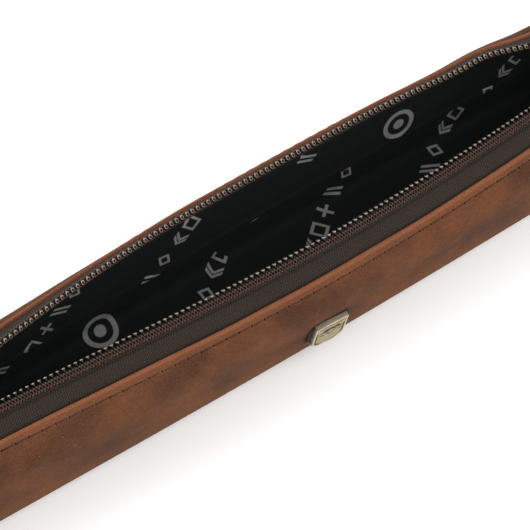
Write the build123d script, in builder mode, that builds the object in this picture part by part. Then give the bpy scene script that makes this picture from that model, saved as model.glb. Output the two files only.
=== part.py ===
"""Long slim leather cue case with a metal zip along its top, its mouth spread open. Millimetres, +Z up.

The case lies along X and rests on its flat bottom at Z 0. The front wall, with the badge, faces -Y.
Every long soft piece is a band of the same cross-section, lofted through stations along X. The section is first laid
out closed, as half-widths from the middle and heights, and is then opened at each station by turning its upper part
outwards about a pivot inside the wall.
"""

import math
import os

from build123d import *

os.makedirs("parts", exist_ok=True)

# Outer size of the closed case
LENGTH = 800.0
WIDTH = 54.0
HEIGHT = 45.0
BOTTOM_RADIUS = 8.0
TOP_RADIUS = 6.0

# Layers of the wall, from the outside in
LEATHER = 1.8
PADDING = 1.2
LINING = 0.6
INSIDE = LEATHER + PADDING + LINING

# Zip and hem, as half-widths from the middle of the closed zip
STITCH_LINE = 17.0
HEM_EDGE = 13.0
HEM_DEPTH = 2.8
TAPE = 0.8
CORD_INNER = 1.2
CORD_OUTER = 3.0
CORD_RISE = 0.7
TEETH_EDGE = 0.05
TEETH_HALF_HEIGHT = 1.3
THREAD_WIDTH = 0.8
THREAD_RISE = 0.4
TAPE_TOP = HEIGHT - HEM_DEPTH
TAPE_BOTTOM = TAPE_TOP - TAPE
TAPE_MIDDLE = TAPE_TOP - TAPE / 2

# The open mouth
MOUTH_X = 148.0
MOUTH_LEFT = 300.0
MOUTH_RIGHT = 230.0
MOUTH_END = MOUTH_X + MOUTH_RIGHT
BOTTOM_SPREAD = 4.0
WALL_TURN = 0.8
WALL_BULGE = 0.4
FRONT = {"side": -1, "pivot": (28.8, 30.4), "open": 50.8, "reach": 1.0, "pucker": 0.0}
BACK = {"side": 1, "pivot": (23.6, 29.6), "open": 59.7, "reach": 0.89, "pucker": 3.0}

# Badge
BADGE_X = 133.8
BADGE_Z = 17.5
BADGE_WIDTH = 16.3
BADGE_SIDE = 10.6
BADGE_POINT = 5.4
BADGE_FLARE = 1.2
BADGE_DEPTH = 3.0
BADGE_WALL_Y = -32.35
BADGE_TURN = 7.0
BADGE_LEAN = 6.5
PRONG_SPREAD = 4.0

# Slider and pull tab
SLIDER_LENGTH = 13.0
SLIDER_WIDTH = 10.0
SLIDER_X = MOUTH_END - 5.0
SLIDER_PLATE = 1.2
SLIDER_TOP = HEIGHT + 0.6
SLIDER_BOTTOM = 38.2
POST_WIDTH = 1.1
POST_LENGTH = 2.5
BAIL_WIDTH = 2.2
BAIL_THICK = 1.0
BAIL_RISE = 3.6
TAB_LENGTH = 20.0
TAB_WIDTH = 7.0
TAB_THICK = 1.3
PIN_RADIUS = 0.8

END_X = LENGTH / 2 - LEATHER
ZIP_END_X = END_X - 4.0
STATIONS_A_SIDE = 7


def stations(start=-END_X, end=END_X):
    """Places along X where a band's section is drawn: both ends, and evenly spaced ones along the mouth."""
    left = [MOUTH_X - MOUTH_LEFT * k / STATIONS_A_SIDE for k in range(STATIONS_A_SIDE, 0, -1)]
    right = [MOUTH_X + MOUTH_RIGHT * k / STATIONS_A_SIDE for k in range(STATIONS_A_SIDE + 1)]
    return [start] + [x for x in left + right if start < x < end] + [end]


def mouth_share(x, reach=1.0):
    """How far the mouth is open at x, from 0 at its ends to 1: it parts gently on the left and at the slider sharply."""
    if x < MOUTH_X:
        t = min(1, max(0, 1 - (MOUTH_X - x) / MOUTH_LEFT) / reach)
        return t * t * (3 - 2 * t)
    t = min(1, max(0, 1 - (x - MOUTH_X) / MOUTH_RIGHT) / reach)
    return (3 * t - t**3) / 2


def opened(lip, x, half_width, height, turn):
    """A point of the closed section as it lies in the open case, as (Y, Z). turn is its share of the lip's angle."""
    drop = lip["pucker"] * math.sin(math.pi * mouth_share(x)) ** 2 * min(1, half_width / STITCH_LINE)
    spread = BOTTOM_SPREAD * mouth_share(x) * (1 - turn) * min(1, 2 * half_width / WIDTH)
    angle = math.radians(lip["open"]) * mouth_share(x, lip["reach"]) * turn
    across = half_width + spread - lip["pivot"][0]
    up = height - drop * turn - lip["pivot"][1]
    out = lip["pivot"][0] + across * math.cos(angle) + up * math.sin(angle)
    return lip["side"] * out, lip["pivot"][1] - across * math.sin(angle) + up * math.cos(angle)


def half_section(lip, x, depth):
    """Half of the open section at a depth under the outer surface, from the bottom to the stitch line, as (Y, Z).
    The wall between the bottom corner and the shoulder is nearly straight."""
    low, high = BOTTOM_RADIUS - depth, max(TOP_RADIUS - depth, 0.5)
    low_middle, high_middle = WIDTH / 2 - BOTTOM_RADIUS, HEIGHT - TOP_RADIUS
    wall = low_middle + low
    bend = math.sqrt(0.5)
    corner = opened(lip, x, wall, BOTTOM_RADIUS, 0)
    shoulder = opened(lip, x, wall, high_middle, WALL_TURN)
    bulge = lip["side"] * WALL_BULGE
    return [
        opened(lip, x, low_middle, depth, 0),
        opened(lip, x, low_middle + low * bend, BOTTOM_RADIUS - low * bend, 0),
        corner,
        (corner[0] * 0.7 + shoulder[0] * 0.3 + bulge, corner[1] * 0.7 + shoulder[1] * 0.3),
        (corner[0] * 0.35 + shoulder[0] * 0.65 + bulge, corner[1] * 0.35 + shoulder[1] * 0.65),
        shoulder,
        opened(lip, x, wall - high * (1 - bend), high_middle + high * bend, WALL_TURN + 0.07),
        opened(lip, x, wall - high, high_middle + high - 0.1, WALL_TURN + 0.13),
        opened(lip, x, STITCH_LINE, high_middle + high, 1),
    ]


def lofted(outline, places):
    """A closed solid through the outlines that outline(x) gives at each place along X."""
    with BuildPart() as band:
        for x in places:
            with BuildSketch(Plane.YZ.offset(x)):
                with BuildLine():
                    Polyline(*outline(x), close=True)
                make_face()
        loft(ruled=True)
    return band


def wall_band(lip, outer, inner, first, last):
    """A layer of one wall between two depths, from point first to point last of the half section."""

    def outline(x):
        return half_section(lip, x, outer)[first:last] + half_section(lip, x, inner)[first:last][::-1]

    return lofted(outline, stations())


def through_band(outer, inner, front_last, back_last):
    """A layer that runs from the front wall under the bottom to the back wall."""

    def run(x, depth):
        return half_section(FRONT, x, depth)[:front_last][::-1] + half_section(BACK, x, depth)[:back_last]

    def outline(x):
        return run(x, outer) + run(x, inner)[::-1]

    return lofted(outline, stations())


def lip_band(lip, points, start=-END_X, end=END_X):
    """A strip of the lip, given by its closed section."""
    return lofted(lambda x: [opened(lip, x, *point, 1) for point in points], stations(start, end))


def save(piece, name):
    piece.part.label = name
    export_step(piece.part, f"parts/{name}.step")


# Badge: a shield with sloping sides on two prongs, which pass through the leather and are bent over a washer behind it
turn, lean = math.radians(BADGE_TURN), math.radians(BADGE_LEAN)
badge_plane = Plane(
    origin=(BADGE_X, BADGE_WALL_Y, BADGE_Z),
    x_dir=(math.cos(turn), math.sin(turn) * math.sin(lean), -math.sin(turn) * math.cos(lean)),
    z_dir=(0, -math.cos(lean), -math.sin(lean)),
)
half, side_top = BADGE_WIDTH / 2 + BADGE_FLARE, BADGE_SIDE / 2 + 1.8 + BADGE_FLARE
side_bottom = -BADGE_SIDE / 2 + 1.8
point_bottom, bulge_bottom = side_bottom - BADGE_POINT, side_bottom - BADGE_POINT * 0.66
with BuildPart() as badge:
    with BuildSketch(badge_plane):
        with BuildLine():
            ThreePointArc((-half, side_top), (0, side_top + 0.6), (half, side_top))
            Line((half, side_top), (half, side_bottom))
            ThreePointArc((half, side_bottom), (half * 0.55, bulge_bottom), (0, point_bottom))
            ThreePointArc((0, point_bottom), (-half * 0.55, bulge_bottom), (-half, side_bottom))
            Line((-half, side_bottom), (-half, side_top))
        make_face()
    extrude(amount=BADGE_DEPTH, taper=math.degrees(math.atan(BADGE_FLARE / BADGE_DEPTH)))
save(badge, "badge")

prong_places = [(-PRONG_SPREAD, 0), (PRONG_SPREAD, 0)]
prong_length = LEATHER + 0.7
with BuildPart() as badge_prongs:
    with BuildSketch(badge_plane):
        with Locations(prong_places):
            Rectangle(0.8, 2.4)
    extrude(amount=-prong_length)
save(badge_prongs, "badge_prongs")

washer_plane = badge_plane.offset(-LEATHER - 0.15)
with BuildPart() as badge_washer:
    with BuildSketch(washer_plane):
        RectangleRounded(12, 7, 2)
        with Locations(prong_places):
            Rectangle(1.0, 2.6, mode=Mode.SUBTRACT)
    extrude(amount=-0.5)
save(badge_washer, "badge_washer")

# Slots for the prongs, and the pocket behind the leather that the washer lies in
with BuildPart() as badge_pocket:
    with BuildSketch(badge_plane.offset(0.5)):
        with Locations(prong_places):
            Rectangle(1.0, 2.6)
    extrude(amount=-prong_length - 0.6)
    with BuildSketch(washer_plane.offset(0.1)):
        RectangleRounded(12.4, 7.4, 2)
    extrude(amount=-0.7)

# Leather body: one hide under the bottom and up both walls
outer_leather = through_band(0, LEATHER, 9, 9)
with outer_leather:
    add(badge_pocket.part, mode=Mode.SUBTRACT)
save(outer_leather, "outer_leather")

# Soft filling between the leather and the lining
floor_stiffener = through_band(LEATHER, LEATHER + PADDING, 1, 1)
save(floor_stiffener, "floor_stiffener")
front_padding = wall_band(FRONT, LEATHER, LEATHER + PADDING, 2, 6)
with front_padding:
    add(badge_pocket.part, mode=Mode.SUBTRACT)
save(front_padding, "front_padding")
back_padding = wall_band(BACK, LEATHER, LEATHER + PADDING, 2, 6)
save(back_padding, "back_padding")

# Lining: one piece over the front wall and the floor, and one up the back wall, seamed low on the back wall
main_lining = through_band(LEATHER + PADDING, INSIDE, 9, 4)
save(main_lining, "main_lining")
back_lining = wall_band(BACK, LEATHER + PADDING, INSIDE, 3, 9)
save(back_lining, "back_lining")

# Ends: a leather panel, its filling, its lining and the thread round it
for end_name, way in (("left", -1), ("right", 1)):
    plane = Plane.YZ.offset(way * LENGTH / 2 - (LEATHER if way > 0 else 0))
    with BuildPart() as end_panel:
        with BuildSketch(plane):
            with Locations((0, HEIGHT / 2)):
                panel_outline = Rectangle(WIDTH, HEIGHT)
            fillet(panel_outline.vertices().group_by(Axis.Z)[0], BOTTOM_RADIUS)
            fillet(panel_outline.vertices().group_by(Axis.Z)[-1], TOP_RADIUS)
        extrude(amount=LEATHER)
    save(end_panel, f"{end_name}_end_panel")

    inner_width = WIDTH - 2 * INSIDE - 0.8
    inner_height = SLIDER_BOTTOM - INSIDE - 0.8
    inner_middle = INSIDE + 0.4 + inner_height / 2
    for layer_name, depth, thick in (("padding", 0, PADDING), ("lining", PADDING, LINING)):
        layer_start = way * (END_X - depth) - (thick if way > 0 else 0)
        with BuildPart() as end_layer:
            with BuildSketch(Plane.YZ.offset(layer_start)):
                with Locations((0, inner_middle)):
                    RectangleRounded(inner_width, inner_height, BOTTOM_RADIUS - INSIDE)
            extrude(amount=thick)
        save(end_layer, f"{end_name}_end_{layer_name}")

    thread_start = way * LENGTH / 2 - (THREAD_RISE if way < 0 else 0)
    thread_inset = 3.5
    with BuildPart() as end_stitching:
        with BuildSketch(Plane.YZ.offset(thread_start)):
            with Locations((0, HEIGHT / 2)):
                RectangleRounded(WIDTH - 2 * thread_inset, HEIGHT - 2 * thread_inset, 4.5)
                RectangleRounded(
                    WIDTH - 2 * (thread_inset + THREAD_WIDTH),
                    HEIGHT - 2 * (thread_inset + THREAD_WIDTH),
                    4.5 - THREAD_WIDTH,
                    mode=Mode.SUBTRACT,
                )
        extrude(amount=THREAD_RISE)
    save(end_stitching, f"{end_name}_end_stitching")

    # Leather tab over the tapes' ends
    tab_reach, tab_length, tab_thick = 15.0, 11.0, 1.4
    with BuildPart() as zip_tab:
        with BuildSketch(Plane.XY.offset(HEIGHT + 0.05)):
            with Locations((way * (LENGTH / 2 - tab_length / 2), 0)):
                RectangleRounded(tab_length, 2 * tab_reach, 2)
        extrude(amount=tab_thick)
    save(zip_tab, f"{end_name}_zip_tab")

# Lips: the turned hem, the zip tape with its corded edge, the row of teeth, the thread and the top stop
for lip_name, lip in (("front", FRONT), ("back", BACK)):
    chamfer_size = 0.4
    hem_points = [
        (STITCH_LINE, HEIGHT),
        (HEM_EDGE + chamfer_size, HEIGHT),
        (HEM_EDGE, HEIGHT - chamfer_size),
        (HEM_EDGE, TAPE_TOP + chamfer_size),
        (HEM_EDGE + chamfer_size, TAPE_TOP),
        (STITCH_LINE, TAPE_TOP),
    ]
    hem = lip_band(lip, hem_points)
    save(hem, f"{lip_name}_hem")

    tape_points = [
        (STITCH_LINE, TAPE_TOP),
        (CORD_OUTER, TAPE_TOP),
        (CORD_OUTER - CORD_RISE, TAPE_TOP + CORD_RISE),
        (CORD_INNER, TAPE_TOP + CORD_RISE),
        (CORD_INNER, TAPE_BOTTOM - CORD_RISE),
        (CORD_OUTER - CORD_RISE, TAPE_BOTTOM - CORD_RISE),
        (CORD_OUTER, TAPE_BOTTOM),
        (STITCH_LINE, TAPE_BOTTOM),
    ]
    tape = lip_band(lip, tape_points)
    save(tape, f"{lip_name}_zip_tape")

    teeth_points = [
        (CORD_INNER, TAPE_MIDDLE + TEETH_HALF_HEIGHT),
        (TEETH_EDGE, TAPE_MIDDLE + TEETH_HALF_HEIGHT),
        (TEETH_EDGE, TAPE_MIDDLE - TEETH_HALF_HEIGHT),
        (CORD_INNER, TAPE_MIDDLE - TEETH_HALF_HEIGHT),
    ]
    teeth = lip_band(lip, teeth_points, -ZIP_END_X + 6, ZIP_END_X - 6)
    save(teeth, f"{lip_name}_teeth")

    thread_points = [
        (STITCH_LINE, HEIGHT),
        (STITCH_LINE, HEIGHT + THREAD_RISE),
        (STITCH_LINE - THREAD_WIDTH, HEIGHT + THREAD_RISE),
        (STITCH_LINE - THREAD_WIDTH, HEIGHT),
    ]
    hem_stitching = lip_band(lip, thread_points)
    save(hem_stitching, f"{lip_name}_hem_stitching")

    stop_points = [
        (CORD_INNER, TAPE_MIDDLE + TEETH_HALF_HEIGHT),
        (TEETH_EDGE, TAPE_MIDDLE + TEETH_HALF_HEIGHT),
        (TEETH_EDGE, TAPE_MIDDLE - TEETH_HALF_HEIGHT),
        (CORD_INNER, TAPE_MIDDLE - TEETH_HALF_HEIGHT),
    ]
    top_stop = lip_band(lip, stop_points, -ZIP_END_X, -ZIP_END_X + 5)
    save(top_stop, f"{lip_name}_top_stop")

# Bottom stop: a metal staple over both corded edges at the closed end of the zip
with BuildPart() as bottom_stop:
    with Locations((ZIP_END_X - 2.5, 0, TAPE_TOP + CORD_RISE + 0.6)):
        Box(5, 2 * CORD_OUTER, 1)
    fillet(bottom_stop.edges().filter_by(Axis.Z), 0.8)
save(bottom_stop, "bottom_stop")

# Slider: two plates joined by a post that parts the rows, with flanges along the upper plate
with BuildPart() as slider_body:
    with BuildSketch(Plane.XY.offset(SLIDER_TOP)):
        with Locations((SLIDER_X, 0)):
            RectangleRounded(SLIDER_LENGTH, SLIDER_WIDTH, 2.5)
    extrude(amount=SLIDER_PLATE)
    with BuildSketch(Plane.XY.offset(SLIDER_BOTTOM)):
        with Locations((SLIDER_X, 0)):
            RectangleRounded(SLIDER_LENGTH, SLIDER_WIDTH, 2.5)
    extrude(amount=SLIDER_PLATE)
    with BuildSketch(Plane.XY.offset(SLIDER_BOTTOM)):
        with Locations((SLIDER_X - SLIDER_LENGTH / 2 + POST_LENGTH / 2 + 0.2, 0)):
            Rectangle(POST_LENGTH, POST_WIDTH)
    extrude(amount=SLIDER_TOP - SLIDER_BOTTOM + 0.1)
    with BuildSketch(Plane.XY.offset(SLIDER_TOP - 0.6)):
        with Locations(
            (SLIDER_X + 1, SLIDER_WIDTH / 2 - 0.5), (SLIDER_X + 1, -SLIDER_WIDTH / 2 + 0.5)
        ):
            Rectangle(SLIDER_LENGTH - 5, 1)
    extrude(amount=0.7)
save(slider_body, "slider_body")

# Bail: an arch over the slider that the pull tab hangs from
bail_base = SLIDER_TOP + SLIDER_PLATE
bail_half = 4.2
with BuildPart() as slider_bail:
    with BuildSketch(Plane.XZ.offset(-BAIL_WIDTH / 2)):
        with BuildLine():
            outer_arch = ThreePointArc(
                (SLIDER_X - bail_half, bail_base),
                (SLIDER_X, bail_base + BAIL_RISE),
                (SLIDER_X + bail_half, bail_base),
            )
            Line(outer_arch @ 1, (SLIDER_X + bail_half - BAIL_THICK, bail_base))
            ThreePointArc(
                (SLIDER_X + bail_half - BAIL_THICK, bail_base),
                (SLIDER_X, bail_base + BAIL_RISE - BAIL_THICK),
                (SLIDER_X - bail_half + BAIL_THICK, bail_base),
            )
            Line((SLIDER_X - bail_half + BAIL_THICK, bail_base), outer_arch @ 0)
        make_face()
    extrude(amount=BAIL_WIDTH)
save(slider_bail, "slider_bail")

# Pull tab: a flat metal tab with an eye whose pin runs under the bail
pin_x = SLIDER_X
pin_z = bail_base + 1.3
arm_length = 7.5
arm_width = 1.2
arm_middle = BAIL_WIDTH / 2 + 0.35 + arm_width / 2
with BuildPart() as pull_tab:
    with BuildSketch(Plane.XZ.offset(-(arm_middle + arm_width / 2))):
        with Locations((pin_x, pin_z)):
            Circle(PIN_RADIUS)
    extrude(amount=2 * arm_middle + arm_width)
    with BuildSketch(Plane.XY.offset(pin_z - TAB_THICK / 2)):
        with Locations((pin_x + arm_length / 2, arm_middle), (pin_x + arm_length / 2, -arm_middle)):
            Rectangle(arm_length, arm_width)
        with Locations((pin_x + arm_length - 1 + TAB_LENGTH / 2, 0)):
            RectangleRounded(TAB_LENGTH, TAB_WIDTH, 2.5)
    extrude(amount=TAB_THICK)
save(pull_tab, "pull_tab")
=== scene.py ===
"""A long slim leather cue case, its zip undone and its mouth spread open: the looks, on the CAD's frame."""

import math

import bmesh
import bpy
import numpy as np
from mathutils import Matrix, Vector


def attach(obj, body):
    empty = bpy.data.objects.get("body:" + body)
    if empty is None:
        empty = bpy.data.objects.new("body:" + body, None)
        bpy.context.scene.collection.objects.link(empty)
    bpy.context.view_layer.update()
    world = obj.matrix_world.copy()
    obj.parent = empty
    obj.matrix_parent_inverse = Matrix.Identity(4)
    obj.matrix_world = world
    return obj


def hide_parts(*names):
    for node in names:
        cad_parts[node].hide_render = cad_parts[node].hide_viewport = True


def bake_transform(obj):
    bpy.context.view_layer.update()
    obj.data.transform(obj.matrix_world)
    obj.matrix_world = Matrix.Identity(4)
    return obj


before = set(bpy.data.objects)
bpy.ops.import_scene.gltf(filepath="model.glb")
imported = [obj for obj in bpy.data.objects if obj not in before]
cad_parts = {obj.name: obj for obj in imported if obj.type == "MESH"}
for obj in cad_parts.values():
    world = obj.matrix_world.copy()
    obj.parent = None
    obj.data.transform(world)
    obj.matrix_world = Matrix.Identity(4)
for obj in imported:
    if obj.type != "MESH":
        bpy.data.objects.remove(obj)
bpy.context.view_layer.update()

# Sizes in millimetres, as in the CAD
LENGTH, WIDTH, HEIGHT = 800.0, 54.0, 45.0
BOTTOM_RADIUS, TOP_RADIUS = 8.0, 6.0
LEATHER, INSIDE = 1.8, 3.6
STITCH_LINE = 17.0
TAPE_TOP, TAPE_BOTTOM, TAPE_MIDDLE = 42.2, 41.4, 41.8
MOUTH_X, MOUTH_LEFT, MOUTH_RIGHT = 148.0, 300.0, 230.0
BOTTOM_SPREAD, WALL_TURN, WALL_BULGE = 4.0, 0.8, 0.4
SHOULDER = HEIGHT - TOP_RADIUS
FRONT = {"side": -1, "pivot": (28.8, 30.4), "open": 50.8, "reach": 1.0, "pucker": 0.0, "body": "front_lip"}
BACK = {"side": 1, "pivot": (23.6, 29.6), "open": 59.7, "reach": 0.89, "pucker": 3.0, "body": "back_lip"}
LIPS = {"front": FRONT, "back": BACK}
UNDONE_GAP = 0.075
END_X = LENGTH / 2 - LEATHER
STITCH = 5.7
PITCH = 2.54
CORD_CENTRE = 2.55
FIRST_TOOTH, LAST_TOOTH, POST_END = -387.6, 387.5, -375
TOP_STOP_X, BOTTOM_STOP_X = -391.6, 391.7
RNG = np.random.default_rng(7)


# ---------------------------------------------------------------- shape of the case

def bump_at(x, middle, width):
    return np.exp(-(((x - middle) / width) ** 2))


def share(x, reach=1.0):
    """How far the mouth is open at x, from 0 to 1. The undone rows lie a little apart on its left."""
    x = np.asarray(x, float)
    left = np.minimum(1, np.clip(1 - (MOUTH_X - x) / MOUTH_LEFT, 0, 1) / reach)
    right = np.minimum(1, np.clip(1 - (x - MOUTH_X) / MOUTH_RIGHT, 0, 1) / reach)
    wide = np.where(x < MOUTH_X, left * left * (3 - 2 * left), (3 * right - right**3) / 2)
    undone = np.clip(1 - wide / 0.3, 0, 1) * np.clip((x - TOP_STOP_X + 0.4) / 30, 0, 1) * (x < MOUTH_X)
    wide = wide + UNDONE_GAP * undone
    if reach < 1:
        # The back rim rises and then dips near the right end of the mouth
        wide = wide + 0.06 * bump_at(x, 249, 10) - 0.05 * bump_at(x, 273, 10)
    return wide


def opened(lip, x, half, height, turn):
    """Points of the closed section as they lie in the open case, as X, Y, Z in millimetres."""
    x, half, height, turn = np.broadcast_arrays(*(np.asarray(v, float) for v in (x, half, height, turn)))
    wide = share(x)
    sag = np.abs(np.sin(math.pi * np.clip(wide, 0, 1))) ** 1.3 - 0.35 * bump_at(x, 257, 16)
    drop = lip["pucker"] * sag * np.minimum(1, np.abs(half) / STITCH_LINE)
    spread = BOTTOM_SPREAD * wide * (1 - turn) * np.minimum(1, 2 * np.abs(half) / WIDTH)
    angle = math.radians(lip["open"]) * share(x, lip["reach"]) * turn
    across = half + spread - lip["pivot"][0]
    up = height - drop * turn - lip["pivot"][1]
    out = lip["pivot"][0] + across * np.cos(angle) + up * np.sin(angle)
    rise = lip["pivot"][1] - across * np.sin(angle) + up * np.cos(angle)
    return np.stack([x, lip["side"] * out, rise], -1)


def wall_run(lip, x, depth, first, last, steps=12):
    """The wall between two shares of its height, depth under the outer surface, and its closing weights."""
    wall = WIDTH / 2 - depth
    corner = opened(lip, x, wall, BOTTOM_RADIUS, 0)
    shoulder = opened(lip, x, wall, SHOULDER, WALL_TURN)
    k = np.linspace(first, last, steps)
    run = corner[:, None] + (shoulder - corner)[:, None] * k[None, :, None]
    run[..., 1] += lip["side"] * WALL_BULGE * np.sin(math.pi * k)
    return run, WALL_TURN * np.clip((k - 0.5) / 0.5, 0, 1) ** 1.5


def placed_run(lip, x, points):
    """A run of closed (half-width, height, turn) points."""
    half, height, turn = (np.array(v, float)[None, :] for v in zip(*points))
    return opened(lip, np.asarray(x)[:, None], half, height, turn), turn[0]


def arc_points(centre, radius, start, end, count, turns):
    """Closed (half-width, height, turn) points round an arc between two angles in degrees."""
    angles = np.radians(np.linspace(start, end, count))
    spread = np.linspace(turns[0], turns[1], count)
    x, z = centre
    return [(x + radius * math.cos(a), z + radius * math.sin(a), t) for a, t in zip(angles, spread)]


def inner_shoulder(depth):
    radius = max(TOP_RADIUS - depth, 0.5)
    wall = WIDTH / 2 - depth
    return arc_points((wall - radius, SHOULDER), radius, 8, 90, 6, (WALL_TURN, 0.93))


# ---------------------------------------------------------------- meshes

def obj_from(name, verts, faces, material, smooth=True, attributes=None):
    mesh = bpy.data.meshes.new(name)
    mesh.from_pydata((np.asarray(verts) / 1000).tolist(), [], faces)
    obj = bpy.data.objects.new(name, mesh)
    bpy.context.scene.collection.objects.link(obj)
    for key, values in (attributes or {}).items():
        values = np.asarray(values, np.float32)
        kind = "FLOAT" if values.ndim == 1 else "FLOAT_VECTOR"
        layer = mesh.attributes.new(key, kind, "POINT")
        layer.data.foreach_set("value" if kind == "FLOAT" else "vector", values.ravel())
    work = bmesh.new()
    work.from_mesh(mesh)
    bmesh.ops.recalc_face_normals(work, faces=work.faces)
    work.to_mesh(mesh)
    work.free()
    mesh.materials.append(material)
    if smooth:
        mesh.shade_smooth()
    return obj


def tube_faces(rows, columns):
    """Faces of a closed tube through rows of points, with a cap on each end."""
    faces = []
    for i in range(rows - 1):
        for j in range(columns):
            k = (j + 1) % columns
            faces.append((i * columns + j, i * columns + k, (i + 1) * columns + k, (i + 1) * columns + j))
    faces.append(tuple(range(columns)))
    faces.append(tuple((rows - 1) * columns + j for j in range(columns)))
    return faces


def riding(name, verts, faces, material, body, smooth=True, **attributes):
    """A piece that moves with one body."""
    obj = obj_from(name, verts, faces, material, smooth, attributes)
    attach(obj, body)
    return obj


def bend_with(obj, lip, weights):
    """Bakes the piece's placement into its mesh."""
    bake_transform(obj)


def band(name, lip, x, runs, material, extra=None, ruffle=None):
    """A closed section swept along X. runs are (points, turns) round the section."""
    points = np.concatenate([run[0] for run in runs], 1)
    turns = np.concatenate([run[1] for run in runs])
    step = np.linalg.norm(np.diff(points[len(x) // 2], axis=0), axis=1)
    along = np.concatenate([[0], np.cumsum(step)])
    shape = points.shape[:2]
    columns = np.asarray(x)[:, None]
    flat = np.stack([np.broadcast_to(columns, shape), np.broadcast_to(along, shape), np.zeros(shape)], -1)
    if ruffle is not None:
        points = ruffle(points, flat, lip)
    attributes = {"flat": flat.reshape(-1, 3)}
    if extra:
        attributes.update(extra(points, flat))
    faces = tube_faces(len(x), points.shape[1])
    obj = obj_from(name, points.reshape(-1, 3), faces, material, attributes=attributes)
    bend_with(obj, lip, share(np.asarray(x)[:, None], lip["reach"]) * turns)
    return obj


def strewn(name, lip, verts, faces, places, centre, material, wear=None, jitter=0.0, tilt=0.0):
    """Copies of a small piece at places along X, laid on the lip at a closed (half-width, height)."""
    verts = np.asarray(verts, float)
    count = len(verts)
    slant = np.radians(tilt + jitter * RNG.standard_normal((len(places), 1)) * 6)
    dx = verts[None, :, 0] * np.cos(slant) - verts[None, :, 1] * np.sin(slant)
    du = verts[None, :, 0] * np.sin(slant) + verts[None, :, 1] * np.cos(slant)
    x = np.asarray(places)[:, None] + dx + jitter * RNG.standard_normal((len(places), 1)) * 0.2
    half = centre[0] + du + jitter * RNG.standard_normal((len(places), 1)) * 0.1
    height = centre[1] + verts[None, :, 2] + 0 * x
    points = opened(lip, x, half, height, 1.0)
    all_faces = [tuple(v + i * count for v in f) for i in range(len(places)) for f in faces]
    flat = np.stack([x, half, height], -1).reshape(-1, 3)
    shade = RNG.random((len(places), 1)) + 0 * x
    attributes = {"flat": flat, "tone": shade.ravel()}
    if wear is not None:
        attributes["wear"] = np.tile(np.asarray(wear, float), len(places))
    obj = obj_from(name, points.reshape(-1, 3), all_faces, material, attributes=attributes)
    bend_with(obj, lip, share(x, lip["reach"]))
    return obj


def rings(sections, count=12, power=2.6):
    """A small closed piece through rounded sections, each (u, half x, half z)."""
    verts = []
    for u, half_x, half_z in sections:
        for k in range(count):
            a = 2 * math.pi * (k + 0.5) / count
            c, s = math.cos(a), math.sin(a)
            x = half_x * math.copysign(abs(c) ** (2 / power), c)
            z = half_z * math.copysign(abs(s) ** (2 / power), s)
            verts.append((x, u, z))
    return verts, tube_faces(len(sections), count)


def thread_piece(length, radius, dive):
    """One stitch: a short thread that dives into the leather at both ends."""
    verts = []
    count, steps = 8, 9
    for i in range(steps):
        t = -1 + 2 * i / (steps - 1)
        size = radius * (1 - 0.35 * t**6)
        for k in range(count):
            a = 2 * math.pi * k / count
            verts.append((length / 2 * t, size * math.cos(a), size * math.sin(a) - dive * t**4))
    return verts, tube_faces(steps, count)


# ---------------------------------------------------------------- materials

def tone(red, green, blue):
    """A colour as seen, from 0 to 255, in the linear values that shaders take."""
    seen = (red, green, blue)
    return [((v / 255 + 0.055) / 1.055) ** 2.4 if v > 10.3 else v / 255 / 12.92 for v in seen] + [1.0]


def feed(tree, slot, value):
    """Give an input a value of the node tree, or a plain one."""
    if isinstance(value, Num):
        value = value.socket
    if isinstance(value, bpy.types.NodeSocket):
        tree.links.new(value, slot)
    else:
        slot.default_value = value


class Num:
    """A number inside a material's node tree."""

    def __init__(self, tree, socket):
        self.tree, self.socket = tree, socket

    def math(self, operation, *others):
        node = self.tree.nodes.new("ShaderNodeMath")
        node.operation = operation
        for slot, value in zip(node.inputs, (self,) + others):
            feed(self.tree, slot, value)
        return Num(self.tree, node.outputs[0])

    def __add__(self, other):
        return self.math("ADD", other)

    def __sub__(self, other):
        return self.math("SUBTRACT", other)

    def __mul__(self, other):
        return self.math("MULTIPLY", other)

    def __abs__(self):
        return self.math("ABSOLUTE")

    def most(self, other):
        return self.math("MAXIMUM", other)

    def wave(self, length):
        return (self * (2 * math.pi / length)).math("SINE")

    def smooth(self, low, high):
        node = self.tree.nodes.new("ShaderNodeMapRange")
        node.interpolation_type = "SMOOTHSTEP"
        self.tree.links.new(self.socket, node.inputs["Value"])
        node.inputs["From Min"].default_value = low
        node.inputs["From Max"].default_value = high
        return Num(self.tree, node.outputs["Result"])

    def below(self, edge, soft=0.06):
        return self.smooth(edge + soft, edge - soft)


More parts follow.
